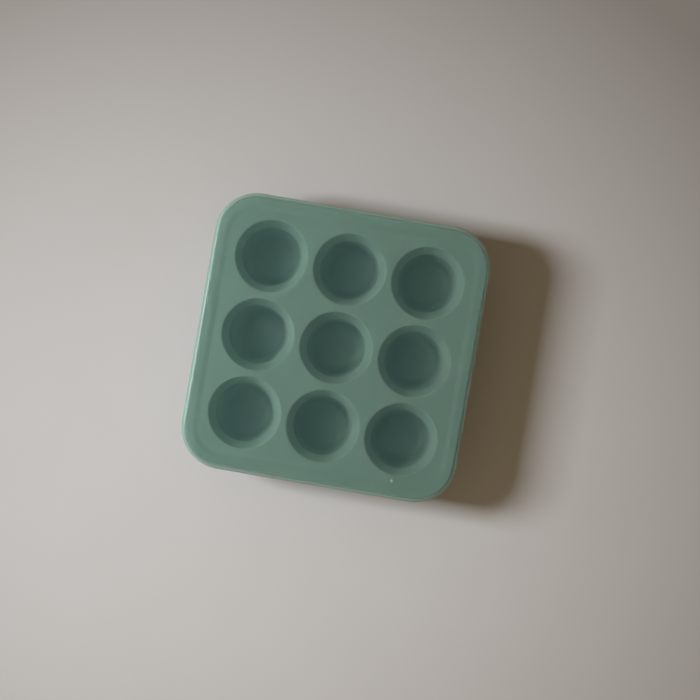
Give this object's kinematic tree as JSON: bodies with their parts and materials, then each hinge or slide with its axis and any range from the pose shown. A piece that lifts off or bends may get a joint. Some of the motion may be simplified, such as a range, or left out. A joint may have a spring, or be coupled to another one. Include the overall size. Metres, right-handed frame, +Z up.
{
  "type": "baby food freezer tray",
  "caption": "Square silicone tray of round tapered cups on a flat deck, with a translucent slip-on lid that lifts off.",
  "frame": {"origin": "under the middle cup, on the surface that the cups stand on", "axes": "+Z up out of the cups, +X and +Y along the rows of cups; the gate mark on the lid is near the -Y edge, towards +X"},
  "size_m": [0.18, 0.18, 0.0445],
  "materials": {
    "tray_silicone": "matt moulded silicone, green",
    "lid_silicone": "satin translucent silicone, green"
  },
  "bodies": {
    "tray_body": {"tray": "tray_silicone"},
    "lid_body": {"lid": "lid_silicone"}
  },
  "joints": [
    {"name": "lid_lift", "type": "slide", "parent": "tray_body", "child": "lid_body", "axis": [0, 0, 1], "range_m": [0, 0.06]}
  ]
}
